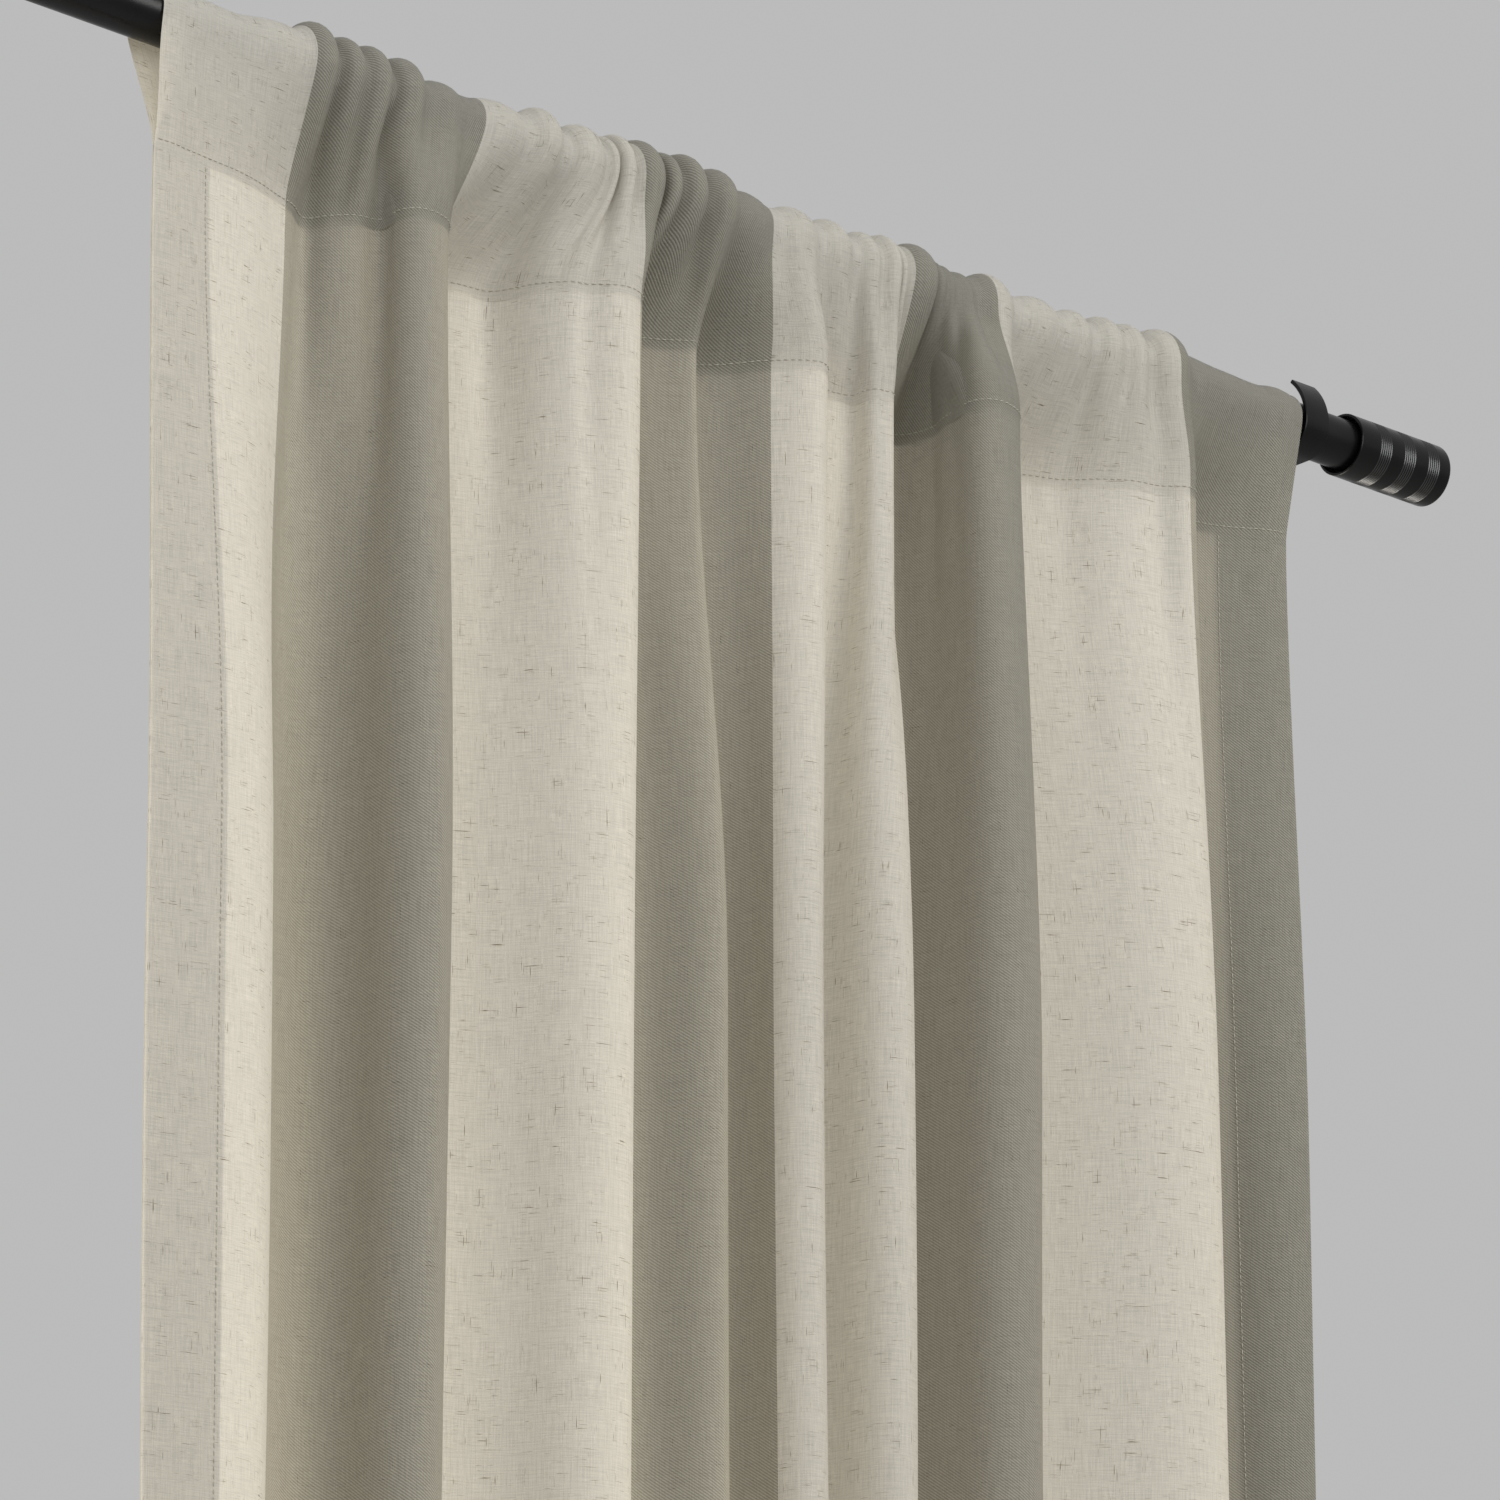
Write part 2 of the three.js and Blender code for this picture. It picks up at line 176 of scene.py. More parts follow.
def mix_colour(tree, factor, a, b, blend="MIX"):
    """Mixes two colours. On this node, inputs 0, 6 and 7 are the factor and the two colours."""
    made = tree.nodes.new("ShaderNodeMix")
    made.data_type = "RGBA"
    made.blend_type = blend
    connect(tree, factor, made.inputs[0])
    connect(tree, a, made.inputs[6])
    connect(tree, b, made.inputs[7])
    return made.outputs[2]


def new_material(name):
    made = bpy.data.materials.new(name)
    made.use_nodes = True
    return made, made.node_tree, made.node_tree.nodes["Principled BSDF"]


def bump(tree, shader, height, strength, distance):
    made = tree.nodes.new("ShaderNodeBump")
    made.inputs["Strength"].default_value = strength
    made.inputs["Distance"].default_value = distance
    connect(tree, height, made.inputs["Height"])
    tree.links.new(made.outputs["Normal"], shader.inputs["Normal"])


def coating_group():
    """Powder coat: fine orange peel, uneven sheen, and dust that settles in soft patches."""
    group = bpy.data.node_groups.new("powder_coat", "ShaderNodeTree")
    for name in ("Peel Scale", "Sheen Low", "Sheen High"):
        group.interface.new_socket(name, in_out="INPUT", socket_type="NodeSocketFloat")
    for name in ("Height", "Roughness", "Dust"):
        group.interface.new_socket(name, in_out="OUTPUT", socket_type="NodeSocketFloat")
    source = group.nodes.new("NodeGroupInput")
    sink = group.nodes.new("NodeGroupOutput")
    place = group.nodes.new("ShaderNodeTexCoord").outputs["Object"]
    peel = group.nodes.new("ShaderNodeTexNoise")
    group.links.new(place, peel.inputs["Vector"])
    group.links.new(source.outputs["Peel Scale"], peel.inputs["Scale"])
    peel.inputs["Detail"].default_value = 3.0
    group.links.new(peel.outputs["Fac"], sink.inputs["Height"])
    patches = noise(group, place, 40.0, 3.0)
    sheen = remap(group, patches, 0.3, 0.7, source.outputs["Sheen Low"], source.outputs["Sheen High"])
    group.links.new(sheen, sink.inputs["Roughness"])
    group.links.new(remap(group, noise(group, place, 18.0, 4.0), 0.45, 0.75), sink.inputs["Dust"])
    return group


powder_coat = coating_group()


def coated_metal(name, base, dusty, low, high, peel_scale=1500.0):
    """A coated metal. base and dusty are its colours, and low and high its range of roughness."""
    made, tree, shader = new_material(name)
    coat = tree.nodes.new("ShaderNodeGroup")
    coat.node_tree = powder_coat
    coat.inputs["Peel Scale"].default_value = peel_scale
    coat.inputs["Sheen Low"].default_value = low
    coat.inputs["Sheen High"].default_value = high
    colour = mix_colour(tree, coat.outputs["Dust"], (*base, 1), (*dusty, 1))
    tree.links.new(colour, shader.inputs["Base Color"])
    tree.links.new(coat.outputs["Roughness"], shader.inputs["Roughness"])
    shader.inputs["Specular IOR Level"].default_value = 0.25
    bump(tree, shader, coat.outputs["Height"], 0.25, 0.00012)
    return made


black_coat = coated_metal("satin_black_coat", (0.0025, 0.0025, 0.003), (0.006, 0.006, 0.0065), 0.22, 0.34)


def mesh_object(name, points, faces, material, smooth=True):
    data = bpy.data.meshes.new(name)
    data.from_pydata([tuple(p) for p in points], [], faces)
    data.update()
    data.polygons.foreach_set("use_smooth", [smooth] * len(data.polygons))
    data.materials.append(material)
    made = bpy.data.objects.new(name, data)
    scene.collection.objects.link(made)
    return made


def turned_piece(name, profile, centre, along, material, sides=96):
    """A turned piece round the X direction. profile is a closed loop of (distance, radius)."""
    points = []
    for distance, radius in profile:
        for i in range(sides):
            angle = 2 * math.pi * i / sides
            points.append((
                centre[0] + along * distance,
                centre[1] + radius * math.cos(angle),
                centre[2] + radius * math.sin(angle),
            ))
    faces = []
    rings = len(profile)
    for r in range(rings):
        after = (r + 1) % rings
        for i in range(sides):
            j = (i + 1) % sides
            quad = (r * sides + i, after * sides + i, after * sides + j, r * sides + j)
            faces.append(quad if along > 0 else quad[::-1])
    made = mesh_object(name, points, faces, material)
    made.data.set_sharp_from_angle(angle=math.radians(32))
    return made


ROD_WALL = 0.0015
EDGE_BREAK = 0.0003
rod_length = rod_high[0] - rod_low[0]
rod_inner = rod_radius - ROD_WALL
rod_profile = [
    (EDGE_BREAK, rod_radius), (rod_length - EDGE_BREAK, rod_radius),
    (rod_length, rod_radius - EDGE_BREAK), (rod_length, rod_inner), (0.0, rod_inner),
    (0.0, rod_radius - EDGE_BREAK),
]
rod = turned_piece(
    "rod_tube_smooth", rod_profile, (rod_low[0], rod_centre_y, rod_centre_z), 1, black_coat
)
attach(rod, "rod")
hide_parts("rod_tube")

# ---- Finials --------------------------------------------------------------------------------
# Each is a sleeve turned from aluminium and blackened, with a deep open rim towards the
# bracket, three bands of fine grooves and a slightly domed end. A collar inside grips the rod.
# The end-side flanks of the grooves face the camera. They take a lighter metal as a painted highlight,
# which also reflects the lamps, so each band shows a few bright lines.
FINIAL_WALL = 0.0015
FINIAL_END = 0.003
END_ROUND = 0.0016
END_DOME = 0.0003
END_CENTRE = 0.00005
GROOVES = 6
GROOVE_PITCH = 0.0014
GROOVE_DEPTH = 0.00035
GROOVE_FLOOR = (0.25, 0.45)
GROOVE_FAR_EDGE = 0.7
BAND_STARTS = (0.013, 0.030, 0.047)

turned_black = coated_metal(
    "turned_black_finial", (0.003, 0.003, 0.003), (0.007, 0.007, 0.007), 0.20, 0.30, 2600.0
)
# A lighter metal for the groove flanks that face the camera: painted highlight lines, which also reflect
# the lamps.
groove_painted_highlight = coated_metal(
    "groove_flank_painted_highlight", (0.08, 0.08, 0.08), (0.11, 0.11, 0.11), 0.22, 0.30, 2600.0
)
groove_painted_highlight.node_tree.nodes["Principled BSDF"].inputs["Metallic"].default_value = 1.0


def finial_profile(length, radius):
    inner = radius - FINIAL_WALL
    outline = [(0.0, inner + EDGE_BREAK), (0.0, radius - EDGE_BREAK), (EDGE_BREAK, radius)]
    for start in BAND_STARTS:
        for i in range(GROOVES):
            at = start + i * GROOVE_PITCH
            outline.append((at, radius))
            outline += [(at + GROOVE_PITCH * share, radius - GROOVE_DEPTH) for share in GROOVE_FLOOR]
            outline.append((at + GROOVE_PITCH * GROOVE_FAR_EDGE, radius))
    for i in range(7):
        turn = math.pi / 2 * i / 6
        outline.append((
            length - END_ROUND * (1 - math.sin(turn)), radius - END_ROUND * (1 - math.cos(turn))
        ))
    outline += [(length + END_DOME * 2 / 3, radius * 0.5), (length + END_DOME, END_CENTRE)]
    outline += [(length - FINIAL_END, END_CENTRE), (length - FINIAL_END, inner), (EDGE_BREAK, inner)]
    return outline


def is_groove_flank(distance):
    return any(
        0 < distance - band < GROOVES * GROOVE_PITCH
        and GROOVE_FLOOR[1] < (distance - band) / GROOVE_PITCH % 1 < GROOVE_FAR_EDGE
        for band in BAND_STARTS
    )


for side, along in (("right", 1), ("left", -1)):
    low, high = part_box(f"{side}_finial_shell")
    start = low[0] if along > 0 else high[0]
    radius = (high[2] - low[2]) / 2
    shell = turned_piece(
        f"{side}_finial_turned", finial_profile(high[0] - low[0] - END_DOME, radius),
        (start, rod_centre_y, rod_centre_z), along, turned_black, 128,
    )
    # The groove flanks that face the camera take the lighter metal, as painted highlight lines.
    shell.data.materials.append(groove_painted_highlight)
    for face in shell.data.polygons:
        from_axis = math.hypot(face.center[1] - rod_centre_y, face.center[2] - rod_centre_z)
        if from_axis > radius - GROOVE_DEPTH and is_groove_flank(abs(face.center[0] - start)):
            face.material_index = 1
            face.use_smooth = False
    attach(shell, f"{side}_finial")
    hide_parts(f"{side}_finial_shell")

# ---- Brackets -------------------------------------------------------------------------------
# A flat steel strap is bent under the rod and up into a lip that leans back over it. Its tail is
# spot welded to a wall plate, and both are powder coated. Two zinc plated screws hold the plate.
STRAP_THICKNESS = 0.002
STRAP_CLEARANCE = 0.0005
LIP_RADIUS = 0.030
LIP_TURN = math.radians(47)
TAIL_HEIGHT = 0.020
TAIL_BEND = 0.004
STRAP_EDGE = 0.0004
cradle_radius = rod_radius + STRAP_CLEARANCE + STRAP_THICKNESS / 2


def strap_line(wall_side):
    """The strap's middle line as (y, z) points, from the top of its tail to the end of its lip."""
    tail_y = wall_side - STRAP_THICKNESS / 2
    arm_z = rod_centre_z - cradle_radius
    line = [(tail_y, arm_z + TAIL_HEIGHT), (tail_y, arm_z + TAIL_BEND)]
    for i in range(1, 7):
        turn = math.pi / 2 * i / 6
        line.append((
            tail_y - TAIL_BEND * (1 - math.cos(turn)), arm_z + TAIL_BEND * (1 - math.sin(turn))
        ))
    for i in range(25):
        turn = math.pi / 2 * i / 24
        line.append((
            rod_centre_y - cradle_radius * math.sin(turn), rod_centre_z - cradle_radius * math.cos(turn)
        ))
    lip_centre = rod_centre_y - cradle_radius + LIP_RADIUS
    for i in range(1, 25):
        turn = LIP_TURN * i / 24
        line.append((
            lip_centre - LIP_RADIUS * math.cos(turn), rod_centre_z + LIP_RADIUS * math.sin(turn)
        ))
    return line


def strap_section(width):
    """The strap's cross-section with broken edges, as (across, through) offsets."""
    half = width / 2
    thick = STRAP_THICKNESS / 2
    edge = STRAP_EDGE
    return [
        (-half + edge, -thick), (half - edge, -thick), (half, -thick + edge), (half, thick - edge),
        (half - edge, thick), (-half + edge, thick), (-half, thick - edge), (-half, -thick + edge),
    ]


for side in ("right", "left"):
    low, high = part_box(f"{side}_hook_strap")
    line = strap_line(high[1])
    section = strap_section(high[0] - low[0])
    middle_x = (low[0] + high[0]) / 2
    points = []
    for i, (y, z) in enumerate(line):
        before, after = line[max(i - 1, 0)], line[min(i + 1, len(line) - 1)]
        along_y, along_z = after[0] - before[0], after[1] - before[1]
        size = math.hypot(along_y, along_z)
        for across, through in section:
            points.append((
                middle_x + across, y - along_z / size * through, z + along_y / size * through
            ))
    count = len(section)
    faces = [tuple(range(count))[::-1], tuple(range(len(points) - count, len(points)))]
    for i in range(len(line) - 1):
        for j in range(count):
            k = (j + 1) % count
            faces.append((i * count + j, i * count + k, (i + 1) * count + k, (i + 1) * count + j))
    strap = mesh_object(f"{side}_strap_bent", points, faces, black_coat)
    strap.data.set_sharp_from_angle(angle=math.radians(30))
    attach(strap, "brackets")
    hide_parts(f"{side}_hook_strap")
    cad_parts[f"{side}_wall_plate"].data.materials.clear()
    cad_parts[f"{side}_wall_plate"].data.materials.append(black_coat)
    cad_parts[f"{side}_finial_collar"].data.materials.clear()
    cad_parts[f"{side}_finial_collar"].data.materials.append(turned_black)

zinc, zinc_tree, zinc_shader = new_material("zinc_plated_steel")
zinc_shader.inputs["Metallic"].default_value = 1.0
zinc_place = zinc_tree.nodes.new("ShaderNodeTexCoord").outputs["Object"]
zinc_tone = remap(zinc_tree, noise(zinc_tree, zinc_place, 900.0, 3.0), 0.3, 0.7)
zinc_tree.links.new(
    mix_colour(zinc_tree, zinc_tone, (0.42, 0.43, 0.44, 1), (0.60, 0.60, 0.58, 1)),
    zinc_shader.inputs["Base Color"],
)
zinc_tree.links.new(remap(zinc_tree, zinc_tone, 0, 1, 0.28, 0.45), zinc_shader.inputs["Roughness"])
bump(zinc_tree, zinc_shader, noise(zinc_tree, zinc_place, 2500.0), 0.2, 0.0001)
for side in ("right", "left"):
    for name in (f"{side}_upper_wall_screw", f"{side}_lower_wall_screw", f"{side}_finial_set_screw"):
        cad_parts[name].data.materials.clear()
        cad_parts[name].data.materials.append(zinc)

# ---- Curtain cloth --------------------------------------------------------------------------
# One length of linen-look cloth, woven in eight stripes that alternate cream and sage. It hangs
# from the rod in soft folds. Its top is turned over the rod to the back and sewn down, which
# makes the rod pocket, and the cloth is gathered on the rod to about two thirds of its width.
FLAT_WIDTH = 1.118
EDGE_STRIPE = 0.102
MM = 0.001

first_low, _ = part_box("drop_cream_1")
pocket_low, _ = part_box("pocket_cream_1")
seam_z = pocket_low[2]
panel_bottom = first_low[2]
inner_stripe = (FLAT_WIDTH - 2 * EDGE_STRIPE) / 6
stripe_edges = [0.0, *(EDGE_STRIPE + i * inner_stripe for i in range(7)), FLAT_WIDTH]

# The lines of the folds, from the left edge to the right one, in millimetres. Each has its place
# on the flat cloth, its place along the rod and its depth, first at the pocket's seam and then at
# the elbow below it. Crests stand towards the room, and the hollows lie between them.
FOLDS = [
    ((0, -728, 0), (0, -722, 0)), ((45, -689, -3), (45, -680, 9)),
    ((125, -625, -21), (155, -611, -33)), ((226, -577, 18), (226, -578, 25)),
    ((301, -532, -38), (301, -536, -27)), ((404, -455, 13), (393, -462, 19)),
    ((459, -424, -30), (447, -426, -18)), ((495, -391, -16), (491, -393, 8)),
    ((517, -378, -33), (527, -373, -17)), ((582, -330, 6), (580, -347, 21)),
    ((618, -304, -14), (641, -314, -25)), ((668, -284, 0), (693, -284, 13)),
    ((730, -250, -29), (755, -254, -32)), ((850, -227, 28), (835, -216, 27)),
    ((922, -175, -32), (907, -174, -24)), ((1014, -91, 9), (1004, -90, 21)),
    ((1063, -60, -17), (1063, -54, -20)), ((1118, -9.5, 0), (1118, -11, 9)),
]
# Where the stripes' edges lie along the rod on top of it, where the cloth is gathered.
CROWN_EDGES = (-735, -652, -545, -452, -366, -266, -230, -104, -10)
# Tucks along the crown: a stretch of flat cloth, how many tucks it is gathered into and how high
# they stand off the rod.
TUCKS = [
    (0, 100, 3, 1.2), (100, 212, 4, 10.5), (212, 300, 2, 3.0), (300, 404, 4, 11.0), (404, 524, 4, 11.0),
    (524, 566, 1, 3.0), (566, 690, 4, 7.0), (690, 742, 2, 11.5), (742, 852, 3, 1.8),
    (852, 1000, 5, 6.5), (1000, 1036, 1, 11.0), (1036, 1118, 2, 1.6),
]
COLUMN = 2.4
DROP_ROW = 11.0
POCKET_ROW = 3.2
CLOTH_ON_ROD = 0.9
LEAST_ON_ROD = 0.6
FAR = 99.0
ELBOW = 320.0
BACK_LEG_OVERLAP = 1.03

rng = np.random.default_rng(11)
seam, bottom = seam_z / MM, panel_bottom / MM
rod_y, rod_z, rod_r = rod_centre_y / MM, rod_centre_z / MM, rod_radius / MM
flat = np.linspace(0.0, FLAT_WIDTH / MM, int(FLAT_WIDTH / MM / COLUMN) + 1)
seam_folds = np.array([fold[0] for fold in FOLDS], float)
below_folds = np.array([fold[1] for fold in FOLDS], float)
crown_along = np.interp(seam_folds[:, 0], np.array(stripe_edges) / MM, CROWN_EDGES)


def softened(values, width):
    span = max(int(3 * width / COLUMN), 1)
    weights = np.exp(-0.5 * (np.arange(-span, span + 1) * COLUMN / width) ** 2)
    padded = np.pad(values, span, mode="reflect", reflect_type="odd")
    return np.convolve(padded, weights / weights.sum(), "valid")


# Each tuck has a width of its own, a height and a level on the pocket where it runs out.
tuck_edges, tuck_high, tuck_end = [0.0], [], []
for start, end, count, high in TUCKS:
    widths = rng.uniform(0.4, 1.7, count)
    tuck_edges += list(start + (end - start) * np.cumsum(widths) / widths.sum())
    tuck_high += list(high * rng.uniform(0.7, 1.4, count))
    tuck_end += list(rng.uniform(-0.4, 0.5, count))
of_tuck = np.clip(np.searchsorted(tuck_edges, flat, side="right") - 1, 0, len(tuck_high) - 1)
phase = softened(2 * np.pi * np.interp(flat, tuck_edges, np.arange(len(tuck_edges))), 3.0)
tuck_high = softened(np.array(tuck_high)[of_tuck], 5.0)
tuck_end = softened(np.array(tuck_end)[of_tuck], 5.0)
tuck_steep = tuck_high * np.gradient(phase, flat) / 2
slow = softened(rng.normal(0, 1, len(flat)), 14.0)
slower = softened(rng.normal(0, 1, len(flat)), 24.0)
slow, slower = slow / slow.std(), slower / slower.std()

# How far a half fold reaches along the rod, and how deep it goes, for each length of its cloth,
# by how steeply it swings at its middle.
swing = np.linspace(0.0, 1.75, 80)
half = np.sin(np.pi * np.linspace(0, 1, 60))
reach = np.cos(swing[:, None] * half).mean(1)
deep = np.sin(swing[:, None] * half).mean(1)


def row_of_cloth(folds, tucks, ripple):
    """One thread's run across the cloth, as places along the rod and depths. folds holds where
    the fold lines lie on it. The cloth they leave over goes into tucks."""
    marks, along, depth = folds.T
    heading = np.zeros_like(flat)
    spare = np.zeros_like(flat)
    for i in range(len(marks) - 1):
        inside = (flat >= marks[i]) & (flat <= marks[i + 1])
        share = (flat[inside] - marks[i]) / (marks[i + 1] - marks[i])
        gap, step = along[i + 1] - along[i], depth[i + 1] - depth[i]
        steep = np.interp(abs(step) / gap, deep / reach, swing)
        heading[inside] = np.sign(step) * steep * np.sin(np.pi * share)
        used = gap / np.interp(steep, swing, reach) / (marks[i + 1] - marks[i])
        spare[inside] = 2 * math.sqrt(max(1 - used, 0.0))
    steepest = np.maximum(softened(spare, 10.0) * 1.15, 0.05 * tuck_high)
    steepest = np.minimum(steepest, tuck_steep)
    heading = softened(heading, 4.0) + steepest * tucks + ripple
    step_x, step_d = np.cos(heading) * COLUMN, np.sin(heading) * COLUMN
    places = np.concatenate([[0], np.cumsum((step_x[1:] + step_x[:-1]) / 2)])
    depths = np.concatenate([[0], np.cumsum((step_d[1:] + step_d[:-1]) / 2)])
    places += np.interp(flat, marks, along - np.interp(marks, flat, softened(places, 9.0)))
    depths += np.interp(flat, marks, depth - np.interp(marks, flat, softened(depths, 9.0)))
    return places, depths


def creased(angle):
    """A wave of headings that makes round crests and tight creases between them."""
    return np.sin(angle + 0.55 * np.sin(angle))


def eased(share):
    share = np.clip(share, 0.0, 1.0)
    return share * share * (3 - 2 * share)


def drop_rows():
    """Rows of the hanging cloth, from its foot up to the seam, as (x, y, z) points."""
    rows = []
    count = int((seam - bottom) / DROP_ROW)
    for i in range(count + 1):
        z = bottom + (seam - bottom) * i / count
        under = seam - z
        low = eased(under / ELBOW)
        folds = seam_folds * (1 - low) + below_folds * low
        fall = max(under - ELBOW, 0.0)
        sway = 3.0 * np.sin(fall / 310.0 + folds[:, 0] * 0.013) * min(fall / 500.0, 1.0)
        sway[[0, -1]] = (10.0 * eased(fall / 700.0), 0.0)
        folds[:, 1] += sway
        folds[:, 2] *= 1 + 0.10 * np.sin(fall / 260.0 + folds[:, 0] * 0.021) * min(fall / 300.0, 1.0)
        tucks = 0.60 * eased(1 - under / 150.0) * creased(phase) * eased((0.15 - tuck_end) / 0.4)
        tucks = tucks + 0.62 * eased(1 - under / (260.0 - 160.0 * tuck_end)) * creased(phase / 2)
        ripple = 0.11 * slow * np.cos(under / 260.0 + flat * 0.01)
        ripple = ripple + 0.13 * slower * np.sin(under / 410.0 + flat * 0.02 + 0.6)
        places, depths = row_of_cloth(folds, tucks, ripple * eased(under / 120.0))
        rows.append((places, rod_y - depths, np.full_like(flat, z)))
    return rows


def pocket_rows():
    """Rows of the pocket, from the seam up the front, over the rod and down the back."""
    rows = []
    radius = rod_r + CLOTH_ON_ROD
    leg = rod_z - seam
    leg_rows = int(leg / POCKET_ROW)
    turn_rows = int(math.pi * (radius + 5) / POCKET_ROW)
    path = [(i / leg_rows, 0.0, 1) for i in range(1, leg_rows + 1)]
    path += [(1.0, math.pi * i / turn_rows, 1) for i in range(1, turn_rows)]
    path += [(1.0 - BACK_LEG_OVERLAP * i / leg_rows, math.pi, -1) for i in range(leg_rows + 1)]
    for height, turn, facing in path:
        up = eased(height)
        folds = seam_folds.copy()
        folds[:, 1] += (crown_along - folds[:, 1]) * up
        on_rod = 0.45 * np.interp(folds[:, 0], flat, tuck_high)
        folds[:, 2] = folds[:, 2] * (1 - up) * facing + on_rod * up
        side = 1.0 if facing > 0 else 2 * up - 1
        narrow = eased((height + 0.4 - tuck_end) / 0.9) * (0.45 + 0.55 * up)
        tucks = narrow * creased(phase + 0.25 * math.sin(turn)) + (0.50 - 0.25 * up) * creased(phase / 2)
        places, depths = row_of_cloth(folds, tucks * side, 0.0)
        if turn in (0.0, math.pi):
            level = leg * (height - 1.0)
            clear = math.sqrt(max(rod_r ** 2 - level ** 2, 0.0)) + CLOTH_ON_ROD if -level < rod_r else -FAR
            base = max(radius * height, 0.5) + depths
            base = clear + 0.5 * (base - clear + np.sqrt((base - clear) ** 2 + 1.0))
            y = rod_y - facing * base
            z = np.full_like(flat, seam + leg * height)
        else:
            out = radius + 0.5 * (depths + np.sqrt(depths ** 2 + 1.0))
            y = rod_y - out * math.cos(turn)
            z = rod_z + out * math.sin(turn)
        rows.append((places, y, z))
    return rows


hanging = drop_rows()
pocket = pocket_rows()
cloth = np.array([np.stack(row, axis=1) for row in hanging + pocket])

# Neighbouring rows pull each other even, as threads do, and the cloth keeps clear of the rod.
for _ in range(4):
    cloth[1:-1, :, :2] = 0.5 * cloth[1:-1, :, :2] + 0.25 * (cloth[2:, :, :2] + cloth[:-2, :, :2])
out_y, out_z = cloth[..., 1] - rod_y, cloth[..., 2] - rod_z
distance = np.hypot(out_y, out_z)
push = np.maximum((rod_r + LEAST_ON_ROD) / np.maximum(distance, 1e-6), 1.0)
cloth[..., 1] = rod_y + out_y * push
cloth[..., 2] = rod_z + out_z * push
cloth *= MM

column_count = cloth.shape[1]
seam_row = len(hanging) - 1
lengths = np.linalg.norm(np.diff(cloth, axis=0), axis=2).mean(axis=1)
flat_height = np.concatenate([[0.0], np.cumsum(lengths)])


def cloth_piece(name, points, u, v, material):
    """A grid of points as one sheet, with a UV map that holds the flat cloth's own metres."""
    rows, columns = points.shape[:2]
    grid = np.arange(rows * columns).reshape(rows, columns)
    quads = np.stack([grid[:-1, :-1], grid[:-1, 1:], grid[1:, 1:], grid[1:, :-1]], axis=-1).reshape(-1, 4)
    made = mesh_object(name, points.reshape(-1, 3), quads.tolist(), material)
    layer = made.data.uv_layers.new(name="flat_cloth")
    flat_uv = np.stack(np.broadcast_arrays(np.asarray(u)[None, :], np.asarray(v)[:, None]), axis=-1)
    corners = flat_uv.reshape(-1, 2)[quads.reshape(-1)]
    layer.data.foreach_set("uv", corners.astype(np.float32).ravel())
    return made


def math_node(tree, operation, a, b=0.0, clamp=False):
    made = tree.nodes.new("ShaderNodeMath")
    made.operation = operation
    made.use_clamp = clamp
    connect(tree, a, made.inputs[0])
    connect(tree, b, made.inputs[1])
    return made.outputs[0]


def stretched(tree, vector, scale):
    made = tree.nodes.new("ShaderNodeVectorMath")
    made.operation = "MULTIPLY"
    connect(tree, vector, made.inputs[0])
    made.inputs[1].default_value = scale
    return made.outputs[0]


def weave_group():
    """Spun yarn: slubs that thicken it in places, loose fibre fuzz and the crossing of threads."""
    group = bpy.data.node_groups.new("slub_weave", "ShaderNodeTree")
    sockets = (
        ("Flat Cloth", "Vector", "INPUT"), ("Slub Amount", "Float", "INPUT"),
        ("Slubs", "Float", "OUTPUT"), ("Tone", "Float", "OUTPUT"), ("Height", "Float", "OUTPUT"),
    )
    for name, kind, side in sockets:
        group.interface.new_socket(name, in_out=side, socket_type=f"NodeSocket{kind}")
    source = group.nodes.new("NodeGroupInput")
    sink = group.nodes.new("NodeGroupOutput")
    flat_cloth, amount = source.outputs["Flat Cloth"], source.outputs["Slub Amount"]
    weft = noise(group, stretched(group, flat_cloth, (65.0, 1700.0, 1.0)), 1.0, 2.0, 0.5)
    warp = noise(group, stretched(group, flat_cloth, (1700.0, 55.0, 1.0)), 1.0, 2.0, 0.5)
    weft_slub = remap(group, weft, 0.635, 0.67)
    warp_slub = remap(group, warp, 0.65, 0.685)
    gaps = noise(group, stretched(group, flat_cloth, (140.0, 140.0, 1.0)), 1.0, 2.0)
    broken = remap(group, gaps, 0.42, 0.62)
    slubs = math_node(group, "MULTIPLY", math_node(group, "MAXIMUM", weft_slub, warp_slub), broken)
    group.links.new(math_node(group, "MULTIPLY", slubs, amount, clamp=True), sink.inputs["Slubs"])
    threads = math_node(group, "ADD", weft, warp)
    fuzz = noise(group, stretched(group, flat_cloth, (1500.0, 1500.0, 1.0)), 1.0, 3.0, 0.8)
    thread_part = math_node(group, "MULTIPLY", threads, 0.6)
    tone = math_node(group, "ADD", thread_part, math_node(group, "MULTIPLY", fuzz, 0.4))
    group.links.new(remap(group, tone, 0.55, 1.05), sink.inputs["Tone"])
    group.links.new(math_node(group, "ADD", threads, fuzz), sink.inputs["Height"])
    return group


slub_weave = weave_group()
# Each stripe's yarn, its darker slubs, and the colour that comes through it against the light.
CREAM = (0.635, 0.610, 0.548)
CREAM_SLUB = (0.190, 0.155, 0.105)
SAGE = (0.192, 0.186, 0.156)
SAGE_SLUB = (0.090, 0.080, 0.060)
SAGE_LIGHT_YARN = (0.43, 0.418, 0.365)
CREAM_GLOW = (0.66, 0.61, 0.49)
SAGE_GLOW = (0.51, 0.455, 0.335)
SLUB_GLOW = (0.16, 0.12, 0.07)
SHARE_THROUGH = 0.30


